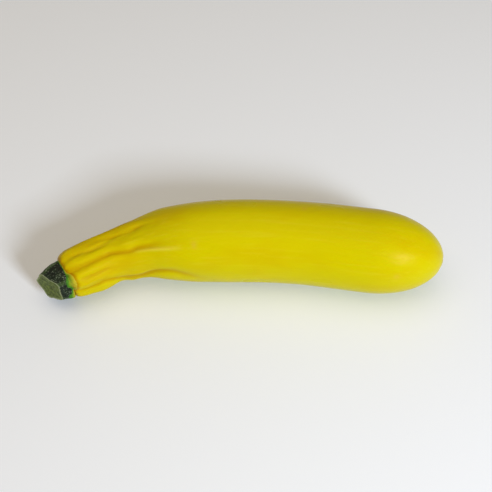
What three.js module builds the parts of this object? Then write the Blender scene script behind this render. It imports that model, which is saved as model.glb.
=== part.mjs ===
// A yellow zucchini lying on a flat surface: the fruit, and the stub of the stem it was cut off by.
// Millimetres, +Z up. The blossom end points along +X and the stem along -X; the fruit bows towards -Y.
// The origin is on the surface, under the middle of the whole object's bounding box.
import * as THREE from "three";

// ---- Driving dimensions ----
const BODY_RADIUS = 21.9; // the thick middle of the fruit
const NECK_RADIUS = 13.5; // where the fruit narrows towards the stem
const SEAT_RADIUS = 9.9; // the face on the fruit that the stem grows from
const SHOULDER = 7; // how far the neck runs back from that face as it rounds up to its thickness
const BLOSSOM_CAP = 37; // length of the rounded end
const STEM_RADIUS = 7.8; // at the cut
const STEM_COLLAR = 9.8; // where the stem meets the fruit
const STEM_GAP = 0.3; // kept between the two solids
const CUT_SLANT = 0.44; // the cut isn't square: the stem's loss in length for each millimetre to its side
const CUT_SIDE = 72; // the side that the cut leans to, in degrees from the top towards -Y
const THIN_SIDE = 215; // the side where the stem is thinner at its cut
const THIN_WIDTH = 55; // half the width of that side, in degrees
const THINNER = 0.9; // by how much
const REST_FLAT = 0.35; // how far the fruit is flattened where it rests

// The rows below are measured from a point on the surface that lies this far from the origin: [x, y].
const ROWS_FROM = [0.83, -0.438];
// Places along the fruit, measured from there.
const CUT_X = -98.2; // the stem's cut end
const SEAT_X = -89.7; // the face that carries the stem
const NECK_END_X = -15; // the neck's angles have died away into the round body
const TIP_X = 103.3; // the blossom end

const RIDGES = 5; // the stem is five-angled, and the neck takes its angles
const RIDGE_ANGLE = 46; // degrees from the top, towards -Y, of one of them
const STEM_RIDGE = 0.08; // how proud they stand on the stem, as a part of its radius
const NECK_RIDGE = 0.5; // how proud they stand on the neck

// ---- How finely the solids are faceted ----
const FRUIT_SIDES = 60;
const SHOULDER_STEPS = 4;
const CAP_STEPS = 10;
const NECK_STEP = 2.4; // between sections along the neck
const BODY_START = -24; // where the coarser steps begin
const BODY_STEP = 6; // between sections along the body
const STEM_SIDES = 40;
const STEM_STEPS = 6;

// The line the fruit grew along: [place, sideways, height].
const AXIS = [
  [CUT_X - 8, -25.1, 14.8],
  [CUT_X, -21.1, 15.4],
  [SEAT_X, -15.6, 16.2],
  [-77.6, -8.1, 17.2],
  [-68.6, -3.2, 18.0],
  [-58.1, 0.1, 18.9],
  [-43.1, 2.9, 20.3],
  [-20.1, 4.6, 21.3],
  [8.9, 4.8, 21.6],
  [34.9, 3.0, 21.6],
  [64.9, -1.6, 21.6],
  [85.9, -4.9, 21.6],
  [TIP_X, -7.3, 21.6],
];

// Half the fruit's thickness, from behind the shoulder to the start of the rounded end: [place, radius].
const THICKNESS = [
  [SEAT_X + SHOULDER, 0.99 * NECK_RADIUS],
  [-77.6, 1.02 * NECK_RADIUS],
  [-68.6, 0.995 * NECK_RADIUS],
  [-58.1, 0.665 * BODY_RADIUS],
  [-48.6, 0.73 * BODY_RADIUS],
  [-38.6, 0.845 * BODY_RADIUS],
  [-29.6, 0.925 * BODY_RADIUS],
  [-20.1, 0.965 * BODY_RADIUS],
  [-5.1, 0.99 * BODY_RADIUS],
  [29.9, 0.99 * BODY_RADIUS],
  [49.9, BODY_RADIUS],
  [TIP_X - BLOSSOM_CAP, BODY_RADIUS],
];

// Folds in the skin of the neck, as rows along each:
// [place, degrees from the top towards -Y, depth, half width in degrees].
const FOLDS = [
  [[-90, 30, 0.9, 13], [-84, 31, 0.9, 12], [-78, 33, 1.0, 12], [-72, 34, 1.1, 10], [-68, 33.5, 1.25, 8],
    [-62, 38, 1.2, 8], [-58, 40, 1.15, 8], [-53, 37, 1.1, 9], [-48, 38, 0.9, 9], [-40, 37, 0.55, 11],
    [-30, 37, 0.35, 12], [-14, 37, 0, 14]],
  [[-88, -12, 0, 8], [-84, -4, 0.5, 8], [-80, 2, 0.6, 8], [-76, 6, 0.8, 8], [-73, 6, 0.7, 8],
    [-68, 5, 0.4, 8], [-61, 4, 0, 8]],
  [[-76, -12, 0, 8], [-70, -8, 0.5, 7], [-65, -4, 0.8, 7], [-60, -2, 0.6, 7], [-56, -2, 0.7, 8],
    [-52, -5, 0.8, 8], [-45, -9, 0, 9]],
  [[-89, 54, 0, 7], [-84, 57, 0.6, 7], [-78, 59, 0.7, 7], [-73, 61, 0.5, 7], [-67, 64, 0, 7]],
  [[-89, 86, 0.6, 9], [-85, 90, 0.9, 8], [-80, 91, 1.1, 8], [-76, 90, 1.1, 8], [-71, 99, 1.2, 9],
    [-67, 106, 1.2, 10], [-61, 112, 1.3, 10], [-57, 110, 1.3, 9], [-50, 98, 1.3, 8], [-44, 91.5, 1.2, 8],
    [-36, 89.5, 1.0, 9], [-30, 94, 0.8, 11], [-24, 100, 0.6, 12], [-16, 107, 0.3, 14], [-6, 112, 0, 16]],
  [[-90, 128, 0.5, 9], [-70, 138, 0.95, 9], [-44, 130, 0.9, 9], [-24, 134, 0, 11]],
  [[-90, 160, 0.5, 9], [-72, 170, 0.9, 9], [-52, 176, 0, 10]],
  [[-90, 206, 0.6, 10], [-70, 210, 1.05, 9], [-48, 204, 0.9, 9], [-26, 208, 0, 11]],
  [[-90, 242, 0.4, 8], [-74, 250, 0.8, 8], [-46, 246, 0, 9]],
  [[-90, 288, 0.6, 9], [-72, 282, 1.05, 9], [-50, 288, 0.8, 9], [-24, 284, 0, 11]],
  [[-89, 325, 0.4, 8], [-74, 318, 0.8, 8], [-50, 322, 0, 9]],
];

// Swellings between the folds, and hollows where the height is negative:
// [place, degrees, height, length, half width in degrees].
const SWELLINGS = [
  [-86, -22, 0.6, 5, 12],
  [-85, 14, 0.5, 6, 10],
  [-84, 43, 0.5, 6, 8],
  [-84, 70, 0.6, 7, 10],
  [-86, 118, -0.7, 5, 26],
  [-85, 180, 0.5, 6, 16],
  [-85, 226, 0.5, 6, 12],
  [-84, 265, 0.6, 7, 14],
  [-85, 304, 0.5, 6, 12],
  [-74, 118, 0.4, 7, 24],
  [-63, 118, -0.4, 7, 24],
  [-48, 118, 0.6, 13, 26],
  [-59.5, 22, 0.45, 4, 14],
  [-57, -22, 0.7, 9, 16],
  [-60.5, 130, 0.9, 3.5, 18],
  [-52, 132, -0.6, 5, 20],
  [-43, -50, 1.2, 9, 30],
];

// ---- Curves ----

const radians = THREE.MathUtils.degToRad;
const bell = (t) => Math.exp(-t * t);
const turned = (degrees) => THREE.MathUtils.euclideanModulo(degrees + 180, 360) - 180;

// A smooth line through rows of [place, value, ...]: cubics whose slopes come from the neighbouring rows.
function through(rows, x) {
  const last = rows.length - 1;
  const end = rows.findIndex((row) => x < row[0]);
  const i = end < 0 ? last - 1 : Math.max(0, end - 1);
  const slope = (k, c) => {
    const a = rows[Math.max(0, k - 1)];
    const b = rows[Math.min(last, k + 1)];
    return (b[c] - a[c]) / (b[0] - a[0]);
  };
  const [from, to] = [rows[i], rows[i + 1]];
  const span = to[0] - from[0];
  const t = THREE.MathUtils.clamp((x - from[0]) / span, 0, 1);
  return from.slice(1).map((value, n) => {
    const c = n + 1;
    const rise = to[c] - value;
    const a = slope(i, c) * span - rise;
    const b = rise - slope(i + 1, c) * span;
    return value + rise * t + t * (1 - t) * (a * (1 - t) + b * t);
  });
}

// A point beside the axis: out by a distance, at an angle from the top towards -Y, in the section
// square to the axis.
function besideAxis(x, angle, distance) {
  const step = 0.5;
  const at = (place) => {
    const [y, z] = through(AXIS, place);
    return new THREE.Vector3(place + ROWS_FROM[0], y + ROWS_FROM[1], z);
  };
  const along = at(x + step).sub(at(x - step)).normalize();
  const side = along.clone().cross(new THREE.Vector3(0, 0, 1)).normalize();
  const up = side.clone().cross(along);
  return at(x)
    .addScaledVector(up, distance * Math.cos(radians(angle)))
    .addScaledVector(side, distance * Math.sin(radians(angle)));
}

// Turns a straight profile of [x, radius] points, then moves each point to the place that shape() gives.
function turnedAndShaped(profile, sides, shape) {
  const geometry = new THREE.LatheGeometry(
    profile.map(([x, radius]) => new THREE.Vector2(radius, x)),
    sides,
  );
  const position = geometry.getAttribute("position");
  for (let i = 0; i < position.count; i++) {
    const [across, x, out] = [position.getX(i), position.getY(i), position.getZ(i)];
    const angle = THREE.MathUtils.radToDeg(Math.atan2(across, out));
    position.setXYZ(i, ...shape(x, angle, Math.hypot(across, out)).toArray());
  }
  return geometry;
}

// The height of the five angles at an angle round the section: 1 on each of them, -1 between.
const ridges = (angle) => Math.cos(radians(RIDGES * (angle - RIDGE_ANGLE)));

// ---- Fruit: one solid, from the face that carries the stem to the blossom end ----

// Its straight profile, as [x, radius]: a rounded shoulder at the stem, the length, and the round end.
function fruitProfile() {
  const shoulderEnd = SEAT_X + SHOULDER;
  const capStart = TIP_X - BLOSSOM_CAP;
  const shoulderRise = THICKNESS[0][1] - SEAT_RADIUS;
  const quarterTurn = (steps) => Array.from({ length: steps + 1 }, (_, i) => ((i / steps) * Math.PI) / 2);
  const between = [];
  for (let x = shoulderEnd + NECK_STEP; x < BODY_START; x += NECK_STEP) between.push(x);
  for (let x = BODY_START; x < capStart - BODY_STEP / 2; x += BODY_STEP) between.push(x);
  return [
    [SEAT_X, 0],
    ...quarterTurn(SHOULDER_STEPS).map((a) => [
      shoulderEnd - SHOULDER * Math.cos(a),
      SEAT_RADIUS + shoulderRise * Math.sin(a),
    ]),
    ...between.map((x) => [x, ...through(THICKNESS, x)]),
    ...quarterTurn(CAP_STEPS).map((a) => [capStart + BLOSSOM_CAP * Math.sin(a), BODY_RADIUS * Math.cos(a)]),
  ];
}

// How far its skin stands in or out of the round section.
function relief(x, angle) {
  const nearStem = 1 - THREE.MathUtils.smoothstep(x, SEAT_X + SHOULDER, NECK_END_X);
  let height = NECK_RIDGE * nearStem * ridges(angle);
  for (const fold of FOLDS) {
    if (x > fold.at(-1)[0]) continue;
    const [centre, depth, width] = through(fold, x);
    height -= depth * bell(turned(angle - centre) / width);
  }
  for (const [place, centre, rise, length, width] of SWELLINGS) {
    height += rise * bell((x - place) / length) * bell(turned(angle - centre) / width);
  }
  return height;
}

function fruit() {
  const geometry = turnedAndShaped(fruitProfile(), FRUIT_SIDES, (x, angle, radius) => {
    const share = Math.min(1, radius / NECK_RADIUS);
    const point = besideAxis(x, angle, radius + relief(x, angle) * share);
    point.z = Math.max(point.z - REST_FLAT, 0);
    return point;
  });
  const skin = new THREE.MeshStandardMaterial({ color: 0xd8c800, roughness: 0.45, metalness: 0 });
  const mesh = new THREE.Mesh(geometry, skin);
  mesh.name = "fruit";
  return mesh;
}

// ---- Stem: the five-angled stub left on the fruit, spreading onto it, and cut on a slant ----

function stem() {
  const foot = SEAT_X - STEM_GAP;
  const profile = [[CUT_X, 0]];
  for (let i = 0; i <= STEM_STEPS; i++) {
    const t = i / STEM_STEPS;
    const spread = Math.sin((t * Math.PI) / 2);
    profile.push([
      THREE.MathUtils.lerp(CUT_X, foot, t),
      THREE.MathUtils.lerp(STEM_RADIUS, STEM_COLLAR, spread),
    ]);
  }
  profile.push([foot, 0]);
  const geometry = turnedAndShaped(profile, STEM_SIDES, (x, angle, radius) => {
    const fromFoot = (foot - x) / (foot - CUT_X);
    const slanted = x + CUT_SLANT * fromFoot * radius * Math.cos(radians(angle - CUT_SIDE));
    const thinned = 1 - (THINNER / STEM_RADIUS) * fromFoot * bell(turned(angle - THIN_SIDE) / THIN_WIDTH);
    const point = besideAxis(slanted, angle, radius * thinned * (1 + STEM_RIDGE * ridges(angle)));
    point.z -= REST_FLAT;
    return point;
  });
  const rind = new THREE.MeshStandardMaterial({ color: 0x2f4a1c, roughness: 0.7, metalness: 0 });
  const mesh = new THREE.Mesh(geometry, rind);
  mesh.name = "stem";
  return mesh;
}

const zucchini = new THREE.Group();
zucchini.add(fruit(), stem());
export default zucchini;
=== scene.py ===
# A yellow zucchini, picked and trimmed for sale, lying on a pale table: the fruit and the stub of its stem.
# Metres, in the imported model's frame: +Z up, the blossom end towards +X and the stem towards -X. Both ends
# bend towards -Y.
import math

import bmesh
import bpy
import numpy as np
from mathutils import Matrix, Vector, noise


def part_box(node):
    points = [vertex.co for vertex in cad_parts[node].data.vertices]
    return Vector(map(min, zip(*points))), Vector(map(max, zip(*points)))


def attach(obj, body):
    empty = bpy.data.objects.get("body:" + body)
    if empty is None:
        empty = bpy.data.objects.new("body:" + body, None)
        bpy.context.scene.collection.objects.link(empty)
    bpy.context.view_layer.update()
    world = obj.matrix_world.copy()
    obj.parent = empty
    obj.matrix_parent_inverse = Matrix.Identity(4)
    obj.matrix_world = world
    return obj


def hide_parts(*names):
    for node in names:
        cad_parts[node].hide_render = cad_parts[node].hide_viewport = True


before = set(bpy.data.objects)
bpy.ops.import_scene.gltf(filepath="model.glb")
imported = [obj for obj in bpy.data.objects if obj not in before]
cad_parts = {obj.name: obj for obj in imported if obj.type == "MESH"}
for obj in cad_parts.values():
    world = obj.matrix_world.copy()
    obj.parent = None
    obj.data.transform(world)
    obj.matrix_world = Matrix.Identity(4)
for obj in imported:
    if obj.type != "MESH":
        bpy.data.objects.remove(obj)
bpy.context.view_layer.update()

# ---- The fruit ----
# It grew as one piece: a smooth, club-shaped body under a thin waxy skin, and a narrower neck that is drawn
# into long folds towards the stem. It is pressed a little flat along the stretch that it lies on, and ends in
# the corky scar that the blossom left.

# Sizes are in mm. A place is how far along the fruit something is, from a point a little short of its middle.
MM = 0.001
TIP = 103.3  # the place of the blossom end
SEAT = TIP - 193  # the place of the joint with the stem
CUT = SEAT - 8.5  # where the stem was cut, at its middle
FAR_SIDE = 26.67  # how far across from that point the fruit reaches, towards +Y
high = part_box("fruit")[1] / MM
ROWS_FROM = np.array([high.x - TIP, high.y - FAR_SIDE, 0])  # that point, on the table
SHOULDER = 7  # length over which the skin rounds up from the joint
BLOSSOM_CAP = 37  # length of the rounded end
BODY_RADIUS = 21.9
NECK_RADIUS = 13.5
SEAT_RADIUS = 9.9
REST_FLAT = 0.35  # how far the skin is pressed flat where it rests
RIDGES = 5  # the stem is five-angled, and the neck takes its angles
RIDGE_ANGLE = 46  # degrees from the top, towards -Y, of one of them
NECK_RIDGE = 0.5  # how proud they stand on the neck
NECK_END = -15  # where they have died away into the round body

# How far the stem's feet reach along the shoulder: (degrees from the top towards -Y, reach, half width in
# degrees).
FEET = [(54, 1.9, 24), (106, -0.7, 22), (190, 1.2, 22), (262, 2.2, 26)]

# Rubbed spots: (place, degrees, half width in degrees).
BLEMISHES = [(-24, 44, 5), (80, 74, 4), (31, -14, 4), (52, 160, 6), (-8, 236, 5)]

# How finely the skin is divided: faces round the fruit, and the lengths or the numbers of its steps along it.
SIDES = 240
SHOULDER_STEPS = 16
NECK_STEP = 0.45
BODY_STEP = 0.9
BODY_START = -24
CAP_STEPS = 60

# The line that the fruit grew along: (place, sideways, height).
AXIS = np.array([
    (CUT - 8, -25.1, 14.8),
    (CUT, -21.1, 15.4),
    (SEAT, -15.6, 16.2),
    (-77.6, -8.1, 17.2),
    (-68.6, -3.2, 18.0),
    (-58.1, 0.1, 18.9),
    (-43.1, 2.9, 20.3),
    (-20.1, 4.6, 21.3),
    (8.9, 4.8, 21.6),
    (34.9, 3.0, 21.6),
    (64.9, -1.6, 21.6),
    (85.9, -4.9, 21.6),
    (TIP, -7.3, 21.6),
])

# Half its thickness, from behind the shoulder to the rounded end: (place, radius).
THICKNESS = np.array([
    (SEAT + SHOULDER, 0.99 * NECK_RADIUS),
    (-77.6, 1.02 * NECK_RADIUS),
    (-68.6, 0.995 * NECK_RADIUS),
    (-58.1, 0.665 * BODY_RADIUS),
    (-48.6, 0.73 * BODY_RADIUS),
    (-38.6, 0.845 * BODY_RADIUS),
    (-29.6, 0.925 * BODY_RADIUS),
    (-20.1, 0.965 * BODY_RADIUS),
    (-5.1, 0.99 * BODY_RADIUS),
    (29.9, 0.99 * BODY_RADIUS),
    (49.9, BODY_RADIUS),
    (TIP - BLOSSOM_CAP, BODY_RADIUS),
])

# Folds in the skin, as rows along each: (place, degrees, depth, half width in degrees). A negative depth is a
# welt that stands proud.
FOLDS = [
    [(-90, 30, 0.9, 13), (-84, 31, 0.9, 12), (-78, 33, 1.0, 12), (-72, 34, 1.1, 10), (-68, 33.5, 1.25, 8),
     (-62, 38, 1.2, 8), (-58, 40, 1.15, 8), (-53, 37, 1.1, 9), (-48, 38, 0.9, 9), (-40, 37, 0.55, 11),
     (-30, 37, 0.35, 12), (-14, 37, 0, 14)],
    [(-57, 43, 0, 3), (-51, 44, -0.4, 3), (-45, 45.5, -0.6, 3), (-38, 47, -0.5, 3), (-29, 48, 0, 3)],
    [(-88, -12, 0, 8), (-84, -4, 0.5, 8), (-80, 2, 0.6, 8), (-76, 6, 0.8, 8), (-73, 6, 0.7, 8),
     (-68, 5, 0.4, 8), (-61, 4, 0, 8)],
    [(-76, -12, 0, 8), (-70, -8, 0.5, 7), (-65, -4, 0.8, 7), (-60, -2, 0.6, 7), (-56, -2, 0.7, 8),
     (-52, -5, 0.8, 8), (-45, -9, 0, 9)],
    [(-89, 54, 0, 7), (-84, 57, 0.7, 7), (-78, 59, 0.8, 7), (-73, 61, 0.6, 7), (-67, 64, 0, 7)],
    [(-89, 86, 0.6, 9), (-85, 90, 0.9, 8), (-80, 91, 1.1, 8), (-76, 90, 1.1, 8), (-71, 99, 1.2, 9),
     (-67, 106, 1.2, 10), (-61, 112, 1.3, 10), (-57, 110, 1.3, 9), (-50, 98, 1.3, 8), (-44, 91.5, 1.2, 8),
     (-36, 89.5, 1.0, 9), (-30, 94, 0.8, 11), (-24, 100, 0.6, 12), (-16, 107, 0.3, 14), (-6, 112, 0, 16)],
    [(-89, 96, 0, 6), (-85, 101, 0.4, 5), (-80, 103, 0.4, 5), (-75, 101, 0, 6)],
    [(-90, 128, 0.5, 9), (-70, 138, 0.95, 9), (-44, 130, 0.9, 9), (-24, 134, 0, 11)],
    [(-90, 160, 0.5, 9), (-72, 170, 0.9, 9), (-52, 176, 0, 10)],
    [(-90, 206, 0.6, 10), (-70, 210, 1.05, 9), (-48, 204, 0.9, 9), (-26, 208, 0, 11)],
    [(-90, 242, 0.4, 8), (-74, 250, 0.8, 8), (-46, 246, 0, 9)],
    [(-90, 288, 0.6, 9), (-72, 282, 1.05, 9), (-50, 288, 0.8, 9), (-24, 284, 0, 11)],
    [(-89, 325, 0.4, 8), (-74, 318, 0.8, 8), (-50, 322, 0, 9)],
]

# Swellings between the folds, and hollows where the height is negative:
# (place, degrees, height, length, half width in degrees).
SWELLINGS = [
    (-86, -22, 0.6, 5, 12), (-85, 14, 0.5, 6, 10), (-84, 43, 0.5, 6, 8), (-84, 70, 0.6, 7, 10),
    (-86, 118, -0.7, 5, 26), (-85, 180, 0.5, 6, 16), (-85, 226, 0.5, 6, 12), (-84, 265, 0.6, 7, 14),
    (-85, 304, 0.5, 6, 12), (-74, 118, 0.4, 7, 24), (-63, 118, -0.4, 7, 24), (-48, 118, 0.6, 13, 26),
    (-59.5, 22, 0.45, 4, 14), (-57, -22, 0.7, 9, 16), (-60.5, 130, 0.9, 3.5, 18),
    (-52, 132, -0.6, 5, 20), (-43, -50, 1.2, 9, 30),
]


def smoothstep(value, low, high):
    t = np.clip((value - low) / (high - low), 0, 1)
    return t * t * (3 - 2 * t)


def bell(t):
    return np.exp(-t * t)


def turned(degrees):
    """The same angle between -180 and 180 degrees."""
    return (degrees + 180) % 360 - 180


def through(rows, x):
    """A smooth line through rows of (place, value): cubics whose slopes come from the neighbouring rows."""
    place, value = np.array(rows, float).T
    row = np.arange(len(place))
    before, after = np.maximum(row - 1, 0), np.minimum(row + 1, row[-1])
    slope = (value[after] - value[before]) / (place[after] - place[before])
    i = np.clip(np.searchsorted(place, x, side="right") - 1, 0, row[-1] - 1)
    span, rise = place[i + 1] - place[i], value[i + 1] - value[i]
    t = np.clip((x - place[i]) / span, 0, 1)
    a, b = slope[i] * span - rise, rise - slope[i + 1] * span
    return value[i] + rise * t + t * (1 - t) * (a * (1 - t) + b * t)


def beside_axis(x, angle, distance):
    """Points out from the axis, at an angle from the top towards -Y, in the section square to the axis."""

    def centre(place):
        return np.column_stack((place, through(AXIS[:, :2], place), through(AXIS[:, ::2], place)))

    step = 0.5
    along = centre(x + step) - centre(x - step)
    along /= np.linalg.norm(along, axis=1, keepdims=True)
    side = np.cross(along, (0, 0, 1))
    side /= np.linalg.norm(side, axis=1, keepdims=True)
    up = np.cross(side, along)
    turn = np.radians(angle)[:, None]
    return ROWS_FROM + centre(x) + distance[:, None] * (np.cos(turn) * up + np.sin(turn) * side)


def ridges(angle):
    """The five angles of the stem: 1 on each of them, -1 between."""
    return np.cos(np.radians(RIDGES * (angle - RIDGE_ANGLE)))


def ripple(x, angle, radius, length, width, seed):
    """Noise between about -1 and 1, drawn out to a length along the fruit and a width round it."""
    turn = np.radians(angle)
    across, up = radius * np.sin(turn) / width, radius * np.cos(turn) / width
    points = zip(x / length + seed, across, up)
    return np.array([noise.noise(Vector(point)) for point in points])


def turned_solid(name, profile, sides):
    """A closed mesh turned from a straight profile of (x, radius), with its faces outwards."""
    bm = bmesh.new()
    chain = [bm.verts.new((x, 0, radius)) for x, radius in profile]
    edges = [bm.edges.new(pair) for pair in zip(chain, chain[1:])]
    bmesh.ops.spin(bm, geom=chain + edges, cent=(0, 0, 0), axis=(1, 0, 0), angle=2 * math.pi, steps=sides,
                   use_merge=True, use_duplicate=False, dvec=(0, 0, 0), use_normal_flip=False)
    bmesh.ops.remove_doubles(bm, verts=bm.verts, dist=1e-4)
    bmesh.ops.recalc_face_normals(bm, faces=bm.faces)
    mesh = bpy.data.meshes.new(name)
    bm.to_mesh(mesh)
    bm.free()
    mesh.shade_smooth()
    piece = bpy.data.objects.new(name, mesh)
    bpy.context.scene.collection.objects.link(piece)
    return piece


def straight_places(piece):
    """x, the angle in degrees and the radius of each vertex of a piece while it is still straight."""
    co = np.zeros(len(piece.data.vertices) * 3)
    piece.data.vertices.foreach_get("co", co)
    x, y, z = co.reshape(-1, 3).T
    return x, np.degrees(np.arctan2(-y, z)), np.hypot(y, z)


def put(piece, points):
    """Moves a piece's vertices to points given in mm."""
    piece.data.vertices.foreach_set("co", (points * MM).ravel())
    piece.data.update()


def note(piece, name, values):
    """Keeps a number for each vertex on the mesh, for its material to read."""
    attribute = piece.data.attributes.new(name, "FLOAT", "POINT")
    attribute.data.foreach_set("value", np.asarray(values, np.float32))


def note_grain(piece, x, angle, radius):
    """Keeps where each vertex was on the straight piece, in metres, so that a pattern runs along it."""
    turn = np.radians(angle)
    places = MM * np.column_stack((x, radius * np.sin(turn), radius * np.cos(turn)))
    attribute = piece.data.attributes.new("grain", "FLOAT_VECTOR", "POINT")
    attribute.data.foreach_set("vector", places.astype(np.float32).ravel())


def shoulder_radius(x):
    """The round section's radius where the skin rounds up from the joint."""
    back = np.clip((SEAT + SHOULDER - x) / SHOULDER, 0, 1)
    return SEAT_RADIUS + (THICKNESS[0][1] - SEAT_RADIUS) * np.sqrt(1 - back * back)


def joint_edge(angle):
    """Where the stem ends on the fruit: its feet reach some way along the shoulder."""
    feet = sum(reach * bell((turned(angle - at) / width) ** 2) for at, reach, width in FEET)
    return SEAT + 0.2 + feet


def skin_height(x, angle):
    """How far the skin stands out of its round section, how deep in a fold it is, and how high on a welt."""
    neck = 1 - smoothstep(x, SEAT + SHOULDER, NECK_END)
    height = NECK_RIDGE * neck * ridges(angle)
    crease = np.zeros_like(x)
    welt = np.zeros_like(x)
    for fold in FOLDS:
        line, depth, width = (through([(row[0], row[k]) for row in fold], x) for k in (1, 2, 3))
        depth = np.where((x < fold[0][0] - 3) | (x > fold[-1][0]), 0, depth)
        across = turned(angle - line) / width  # 0 in the fold's line, 1 at its half width
        pinch = np.exp(-3.2 * np.sqrt(across * across + 0.02))
        height -= depth * (0.8 * bell(across) + 0.3 * np.abs(depth) * pinch)
        crease = np.maximum(crease, depth * bell(1.4 * across))
        welt = np.maximum(welt, -depth * bell(across))
    for at, centre, rise, length, width in SWELLINGS:
        height += rise * bell((x - at) / length) * bell(turned(angle - centre) / width)
    return height, crease, welt


quarter = np.linspace(0, math.pi / 2, SHOULDER_STEPS + 1)
neck_x = np.arange(SEAT + SHOULDER + NECK_STEP, BODY_START, NECK_STEP)
body_x = np.arange(BODY_START, TIP - BLOSSOM_CAP - BODY_STEP / 2, BODY_STEP)
cap_turn = np.linspace(0, math.pi / 2, CAP_STEPS + 1)
fruit_profile = [(SEAT, radius) for radius in np.linspace(0, SEAT_RADIUS, 12, endpoint=False)]
fruit_profile += [(x, shoulder_radius(x)) for x in SEAT + SHOULDER * (1 - np.cos(quarter))]
fruit_profile += [(x, through(THICKNESS, x)) for x in np.append(neck_x, body_x)]
fruit_profile += list(zip(TIP + BLOSSOM_CAP * (np.sin(cap_turn) - 1), BODY_RADIUS * np.cos(cap_turn)))
fruit_profile[-1] = (TIP, 0)

fruit = turned_solid("fruit_skin", fruit_profile, SIDES)
x, angle, radius = straight_places(fruit)

# The folds, then finer wrinkles along the neck, and the faintest unevenness on the body.
height, crease, welt = skin_height(x, angle)
wrinkle = ripple(x, angle, NECK_RADIUS, 17, 3.4, 5) + 0.6 * ripple(x, angle, NECK_RADIUS, 9, 1.7, 23)
wrinkled = 1 - smoothstep(x, -70, -18)
height += (0.3 * wrinkled + 0.015) * wrinkle
body = smoothstep(x, -60, -10)
faint_ribs = 0.05 * np.cos(np.radians(2 * RIDGES * angle + 20))
height += body * (0.1 * ripple(x, angle, BODY_RADIUS, 60, 9, 41) + faint_ribs)

# The skin tucks in at the joint, and the blossom's scar is a shallow dish with a low rim at the other end.
share = np.minimum(1, radius / NECK_RADIUS)
near_tip = x > TIP - BLOSSOM_CAP / 2
from_middle = radius + 0.45 * ripple(x, angle, 9, 40, 2.2, 61)
scar = np.where(near_tip, 1 - smoothstep(from_middle, 2.4, 3.5), 0)
scar_rim = np.where(near_tip, bell((from_middle - 3.3) / 0.6), 0)
pucker = np.where(near_tip, bell((radius - 5.5) / 3.5), 0) * ripple(x, angle, 9, 40, 1.6, 61)
dish = 0.5 * scar - 0.15 * scar_rim - 0.35 * np.where(near_tip, bell(radius / 0.8), 0) + 0.12 * pucker
points = beside_axis(x, angle, radius + height * share)
points[:, 0] -= dish
points[:, 2] = np.maximum(points[:, 2] - REST_FLAT, 0)

note_grain(fruit, x, angle, radius)
# How deep each vertex lies in a fold or a wrinkle's hollow; the material darkens these places as painted
# shade.
note(fruit, "crease", crease + np.clip(-0.5 * wrinkle * wrinkled, 0, 1))
# How high each vertex stands on a welt, which the material paints paler as a painted highlight.
note(fruit, "welt", welt)
note(fruit, "joint", 1 - smoothstep(x - joint_edge(angle), 0, 2.1))
blemish = sum(bell((x - at) / 1.4) * bell(turned(angle - turn) / wide) for at, turn, wide in BLEMISHES)
note(fruit, "blemish", blemish)
note(fruit, "neck", wrinkled)
note(fruit, "scar", scar)
note(fruit, "scar_rim", scar_rim)
put(fruit, points)


class Field:
    """A number that varies over a surface: an expression on fields adds its Math nodes."""

    def __init__(self, surface, socket):
        self.surface, self.socket = surface, socket

    def maths(self, operation, *values):
        return self.surface.field("ShaderNodeMath", {"operation": operation}, dict(enumerate(values)))

    def __add__(self, other):
        return self.maths("ADD", self, other)

    def __sub__(self, other):
        return self.maths("SUBTRACT", self, other)

    def __rsub__(self, other):
        return self.maths("SUBTRACT", other, self)

    def __mul__(self, other):
        return self.maths("MULTIPLY", self, other)

    __radd__ = __add__
    __rmul__ = __mul__


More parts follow.
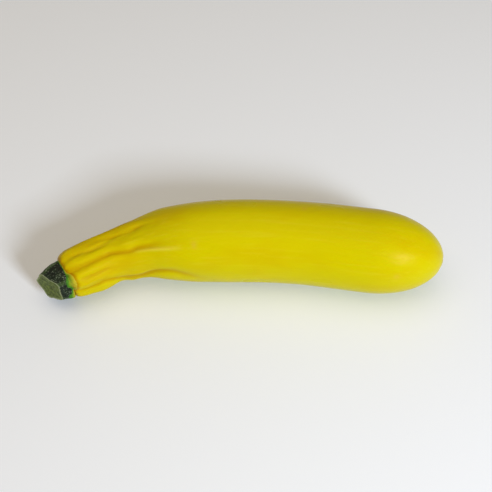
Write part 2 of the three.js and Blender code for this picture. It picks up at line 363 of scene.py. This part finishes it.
class Surface:
    """One material: its shader, and the nodes that vary it over the surface."""

    def __init__(self, name, constants):
        self.material = bpy.data.materials.new(name)
        self.material.use_nodes = True
        self.material.node_tree.nodes.clear()
        self.shader = self.node("ShaderNodeBsdfPrincipled", {}, constants)
        self.node("ShaderNodeOutputMaterial", {}, {"Surface": self.shader.outputs[0]})

    def node(self, kind, settings, sockets):
        """Adds a node: its settings first, then the value or the link of each socket named."""
        node = self.material.node_tree.nodes.new(kind)
        for name, value in settings.items():
            setattr(node, name, value)
        for name, value in sockets.items():
            self.feed(node.inputs[name], value)
        return node

    def feed(self, socket, value):
        """Links a socket, or sets it."""
        source = value.socket if isinstance(value, Field) else value
        if isinstance(source, bpy.types.NodeSocket):
            self.material.node_tree.links.new(source, socket)
        else:
            socket.default_value = source

    def field(self, kind, settings, sockets, output=0):
        return Field(self, self.node(kind, settings, sockets).outputs[output])

    def noted(self, name):
        """A number kept on the mesh."""
        return self.field("ShaderNodeAttribute", {"attribute_name": name}, {}, "Fac")

    def grain(self, along, across):
        """The piece's own straight places, in steps of the given lengths along and across it, in mm."""
        places = self.node("ShaderNodeAttribute", {"attribute_name": "grain"}, {}).outputs["Vector"]
        steps = (1 / (along * MM), 1 / (across * MM), 1 / (across * MM))
        return self.node("ShaderNodeVectorMath", {"operation": "MULTIPLY"}, {0: places, 1: steps}).outputs[0]

    def mottle(self, places, detail=2.0):
        """Cloudy noise about 0.5."""
        sockets = {"Vector": places, "Scale": 1.0, "Detail": detail, "Roughness": 0.5}
        return self.field("ShaderNodeTexNoise", {}, sockets, "Fac")

    def rise(self, value, low, high):
        """0 below low, 1 above high, and smooth between."""
        settings = {"interpolation_type": "SMOOTHSTEP"}
        return self.field("ShaderNodeMapRange", settings, {"Value": value, "From Min": low, "From Max": high})

    def dots(self, places, size):
        """1 at the middle of scattered spots, and 0 from a size on, as a part of their spacing."""
        distance = self.field("ShaderNodeTexVoronoi", {}, {"Vector": places, "Scale": 1.0}, "Distance")
        return 1 - self.rise(distance, 0.0, size)

    def blend(self, factor, first, second):
        """A colour between two."""
        settings = {"data_type": "RGBA"}
        return self.node("ShaderNodeMix", settings, {0: factor, 6: first, 7: second}).outputs[2]

    def bump(self, height, distance):
        """Presses a height into the surface, at most a distance in mm deep."""
        sockets = {"Height": height, "Distance": distance * MM}
        return self.node("ShaderNodeBump", {}, sockets).outputs["Normal"]

    def finish(self, piece, **varying):
        """Feeds what varies into the shader, and puts the material on a piece."""
        for name, value in varying.items():
            self.feed(self.shader.inputs[name.replace("_", " ")], value)
        piece.data.materials.clear()
        piece.data.materials.append(self.material)


def paint(red, green, blue):
    """A colour named as it looks, from 0 to 255, as the light it reflects."""
    def light(part):
        part /= 255
        return part / 12.92 if part <= 0.04045 else ((part + 0.055) / 1.055) ** 2.4
    return light(red), light(green), light(blue), 1.0


BRIGHT_YELLOW = paint(195, 186, 0)
WARM_YELLOW = paint(192, 168, 0)
PALE_YELLOW = paint(204, 192, 36)
WELT_PAINTED_HIGHLIGHT = paint(210, 196, 60)
RUBBED_BUFF = paint(206, 168, 60)
CREASE_PAINTED_SHADE = paint(174, 129, 0)
JOINT_AMBER = paint(159, 110, 2)
SCAR_TAN = paint(158, 130, 70)
SCAR_BROWN = paint(104, 76, 40)

# Yellow that turns warmer in broad clouds and on the neck, with pale streaks, flecks and scuffs, and a paler
# line painted along the welt as its highlight. Painted shade turns it amber deep in the folds; it is amber at
# the joint, and the blossom's scar is brown cork.
skin = Surface("waxy_yellow_skin", {
    "Specular IOR Level": 0.09,
    "Specular Tint": (1.0, 0.4, 0.3, 1.0),
    "Subsurface Weight": 0.2,
    "Subsurface Radius": (1.0, 0.5, 0.05),
    "Subsurface Scale": 2.5 * MM,
})
drift = skin.mottle(skin.grain(38, 16))
streaks = skin.mottle(skin.grain(30, 1.6), 3.0)
flecks = skin.dots(skin.grain(3.2, 2.2), 0.16) * skin.rise(skin.mottle(skin.grain(14, 14)), 0.45, 0.62)
scuffs = skin.rise(skin.mottle(skin.grain(2.6, 0.8), 4.0), 0.66, 0.74) * skin.rise(drift, 0.5, 0.62)
# Painted shade: a mask of the folds, darkened towards amber below.
painted_crease_shade = skin.rise(skin.noted("crease"), 0.15, 1.25)
joint = skin.noted("joint")
jointed = joint * skin.rise(skin.mottle(skin.grain(2.2, 2.2)) + 0.4 * joint, 0.45, 0.95)
neck = skin.noted("neck")
scar = skin.noted("scar")
tone = skin.blend(skin.rise(drift + 0.2 * neck, 0.4, 1.0), BRIGHT_YELLOW, WARM_YELLOW)
tone = skin.blend(0.35 * skin.rise(streaks, 0.5, 0.8), tone, PALE_YELLOW)
tone = skin.blend(0.55 * flecks, tone, PALE_YELLOW)
tone = skin.blend(0.3 * scuffs, tone, PALE_YELLOW)
# Painted highlight: the welt's line is painted paler than the skin around it.
tone = skin.blend(1.2 * skin.noted("welt"), tone, WELT_PAINTED_HIGHLIGHT)
tone = skin.blend(0.36 * skin.noted("blemish"), tone, RUBBED_BUFF)
# Painted shade: the folds and the wrinkles' hollows are darkened towards amber.
tone = skin.blend(0.6 * painted_crease_shade, tone, CREASE_PAINTED_SHADE)
tone = skin.blend(0.75 * jointed, tone, JOINT_AMBER)
cork = skin.mottle(skin.grain(0.9, 0.9), 3.0)
tone = skin.blend(0.9 * scar, tone, SCAR_TAN)
tone = skin.blend(0.8 * scar * skin.rise(cork, 0.45, 0.65), tone, SCAR_BROWN)
tone = skin.blend(0.55 * skin.noted("scar_rim") * skin.rise(cork, 0.2, 0.6), tone, SCAR_BROWN)
dimples = skin.mottle(skin.grain(5, 3))
pores = skin.mottle(skin.grain(0.9, 0.6), 2.0)
skin.finish(
    fruit,
    Base_Color=tone,
    Roughness=0.24 + 0.1 * drift + 0.16 * neck + 0.2 * scuffs + 0.4 * scar,
    Normal=skin.bump(0.5 * pores + 1.3 * dimples + 0.7 * streaks * (0.2 + neck) + cork * scar, 0.12),
)
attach(fruit, "root")
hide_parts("fruit")

# ---- The stem ----
# The stub of the stalk that the fruit hung from: tough and five-angled, dark green with a pale line along
# each angle. It spreads onto the fruit's shoulder as yellow-green feet, and a knife left its end open, on a
# slant.

CUT_SLANT = 0.44  # how much shorter the stem is for each millimetre towards the side that the cut faces
CUT_SIDE = 72  # degrees: that side
STEM_RADIUS = 7.7  # at the cut
STEM_SIDES = 220
STEM_STEP = 0.16
STEM_END = 4.0  # how far the mesh runs on inside the shoulder
THIN_SIDE = 215  # degrees: the flank on which the stalk is thinner

# Where the green gives way to yellow on each foot: (degrees, how far back, half width in degrees).
COLLARS = [(57, 7.0, 20), (113, 5.0, 20), (190, 1.6, 20), (262, 3.0, 24)]

stem_x = np.arange(CUT, SEAT + STEM_END, STEM_STEP)
cut_radii = np.linspace(0, STEM_RADIUS, 40, endpoint=False)
stem_profile = [(CUT, radius) for radius in cut_radii] + [(x, STEM_RADIUS) for x in stem_x]
stem_profile += [(stem_x[-1], radius) for radius in (5, 2.5, 0)]
stem = turned_solid("stem_stub", stem_profile, STEM_SIDES)
x, angle, radius = straight_places(stem)

out = np.minimum(1, radius / STEM_RADIUS)
on_cut = (x < CUT + 1e-3).astype(float)
t = (x - CUT) / (SEAT - CUT)
ridge = (ridges(angle) + 1) / 2
ridge_line = bell(turned(RIDGES * (angle - RIDGE_ANGLE)) / (RIDGES * 9))
bark = 0.2 * ripple(x, angle, 8, 6, 0.9, 3) + 0.26 * ripple(x, angle, 8, 1.6, 1.1, 9)
thinner = 0.9 * bell(turned(angle - THIN_SIDE) / 55)
stalk = STEM_RADIUS + 2.2 * smoothstep(t, -0.1, 0.7) - thinner * (1 - t)
stalk += 0.7 * (2 * ridge - 1) * (1 - 0.4 * t) + 0.25 * ridge_line + bark

# From the seat on, its feet lie on the skin as far as the joint's edge, where they dip into it.
height, _, _ = skin_height(np.maximum(x, SEAT), angle)
on_skin = shoulder_radius(np.maximum(x, SEAT)) + 0.73 * height
past = x - joint_edge(angle)
lift = 0.32 - 1.2 * smoothstep(past, -0.5, 0.7)
foot = on_skin + lift + 0.5 * bark
side_radius = np.where(x < SEAT, stalk + (foot - stalk) * smoothstep(x, SEAT - 1.6, SEAT + 0.2), foot)
stem_radius = side_radius * out
rim = bell((radius - STEM_RADIUS) / 0.5)
slant = CUT_SLANT * np.clip(1 - t, 0, 1) * stem_radius * np.cos(np.radians(angle - CUT_SIDE))
fibre = ripple(np.zeros_like(radius), angle, radius, 1, 0.7, 31)
cut_depth = on_cut * (0.7 * bell(radius / 3.4) - 0.25 * rim + 0.12 * fibre)
points = beside_axis(x + slant + cut_depth, angle, stem_radius)
points[:, 2] = np.maximum(points[:, 2] - REST_FLAT, 0)

note_grain(stem, x, angle, radius)
note(stem, "cut", on_cut)
note(stem, "out", out)
note(stem, "ridge_line", ridge_line)
note(stem, "past", past)
collar = 0.6 + sum(length * bell(turned(angle - at) / width) for at, length, width in COLLARS)
note(stem, "collar", np.clip(1 + past / collar, -1, 1.3))
put(stem, points)

DEEP_GREEN = paint(6, 15, 4)
LEAF_GREEN = paint(20, 36, 16)
RIDGE_GREEN = paint(66, 90, 44)
FRESH_GREEN = paint(58, 120, 8)
YELLOW_GREEN = paint(122, 148, 18)
FOOT_YELLOW = paint(186, 172, 28)
HAIR_GREY = paint(128, 142, 118)
CUT_OLIVE = paint(104, 120, 54)
CUT_DARK = paint(64, 80, 26)
DRY_RIM = paint(146, 158, 116)

# Dark green, paler on its angles and speckled with short bristles. Its feet turn fresh green, then yellow,
# and the cut is olive inside a dry, pale rim.
rind = Surface("green_stem_rind", {
    "Specular IOR Level": 0.25,
    "Subsurface Weight": 0.06,
    "Subsurface Radius": (0.6, 1.0, 0.3),
    "Subsurface Scale": 0.8 * MM,
})
clouds = rind.mottle(rind.grain(3.2, 2.2), 3.0)
lines = rind.mottle(rind.grain(4.5, 0.55), 3.0)
specks = rind.rise(rind.mottle(rind.grain(1.0, 0.4), 3.0) + 0.3 * clouds, 0.7, 0.82)
tone = rind.blend(rind.rise(clouds, 0.35, 0.65), DEEP_GREEN, LEAF_GREEN)
tone = rind.blend(0.6 * rind.rise(lines, 0.5, 0.7), tone, LEAF_GREEN)
tone = rind.blend(0.6 * rind.rise(rind.noted("ridge_line") + 0.8 * lines, 0.6, 1.5), tone, RIDGE_GREEN)
tone = rind.blend(0.55 * specks, tone, HAIR_GREY)
collar = rind.noted("collar") + 0.5 * clouds + 0.3 * lines - 0.4
tone = rind.blend(rind.rise(collar, 0.0, 0.2), tone, FRESH_GREEN)
tone = rind.blend(rind.rise(collar, 0.3, 0.6), tone, YELLOW_GREEN)
tone = rind.blend(rind.rise(collar, 0.55, 0.95), tone, FOOT_YELLOW)
tone = rind.blend(0.6 * rind.rise(rind.noted("past"), -0.4, 0.2), tone, JOINT_AMBER)
face = rind.blend(rind.rise(rind.mottle(rind.grain(2, 1.6), 3.0), 0.35, 0.7), CUT_OLIVE, CUT_DARK)
face = rind.blend(rind.rise(rind.noted("out") + 0.1 * clouds, 0.9, 1.04), face, DRY_RIM)
tone = rind.blend(rind.noted("cut"), tone, face)
rind.finish(
    stem,
    Base_Color=tone,
    Roughness=0.5 + 0.2 * clouds,
    Normal=rind.bump(0.6 * lines + 0.6 * specks, 0.3),
)
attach(stem, "root")
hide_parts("stem")

# ---- The table ----
# A plain pale surface that runs on past every side of the view.

TABLE_SIZE = 6.0
bm = bmesh.new()
bmesh.ops.create_grid(bm, x_segments=1, y_segments=1, size=TABLE_SIZE / 2)
mesh = bpy.data.meshes.new("table")
bm.to_mesh(mesh)
bm.free()
table = bpy.data.objects.new("table", mesh)
bpy.context.scene.collection.objects.link(table)
laminate = Surface("pale_table", {"Roughness": 0.75, "Specular IOR Level": 0.2})
cloudy = laminate.mottle(laminate.node("ShaderNodeTexCoord", {}, {}).outputs["Object"])
laminate.finish(table, Base_Color=laminate.blend(cloudy, paint(228, 237, 249), paint(231, 240, 252)))

# ---- The light ----
# A soft light low on the viewer's right, a wide one overhead and an even, dim room.

middle = Vector((3.0, 0.56, 21.7)) * MM


def soft_light(name, direction, distance, size, power, colour):
    lamp = bpy.data.lights.new(name, "AREA")
    lamp.size = size
    lamp.energy = power
    lamp.color = colour
    light = bpy.data.objects.new(name, lamp)
    light.location = middle + distance * Vector(direction).normalized()
    light.rotation_euler = (light.location - middle).to_track_quat("Z", "Y").to_euler()
    bpy.context.scene.collection.objects.link(light)


soft_light("key_light", (0.51, -0.72, 0.48), 1.1, 0.25, 9.7, (0.98, 1.0, 1.04))
soft_light("overhead_light", (-0.1, -0.1, 1.0), 1.4, 1.6, 9.8, (1.0, 0.82, 0.6))
room = bpy.data.worlds.new("room")
room.use_nodes = True
room.node_tree.nodes["Background"].inputs["Color"].default_value = (1, 0.88, 0.74, 1)
room.node_tree.nodes["Background"].inputs["Strength"].default_value = 0.26
bpy.context.scene.world = room
bpy.context.scene.view_settings.view_transform = "Standard"

# ---- The camera ----
# It looks down on the fruit from the side that its two ends bend towards.

ELEVATION = math.radians(50)
DISTANCE = 0.416
camera = bpy.data.objects.new("camera", bpy.data.cameras.new("camera"))
camera.data.lens = 58.5
camera.data.sensor_width = 36
camera.data.clip_start = 0.01
camera.location = middle + DISTANCE * Vector((0, -math.cos(ELEVATION), math.sin(ELEVATION)))
camera.rotation_euler = (math.pi / 2 - ELEVATION, 0, 0)
bpy.context.scene.collection.objects.link(camera)
bpy.context.scene.camera = camera
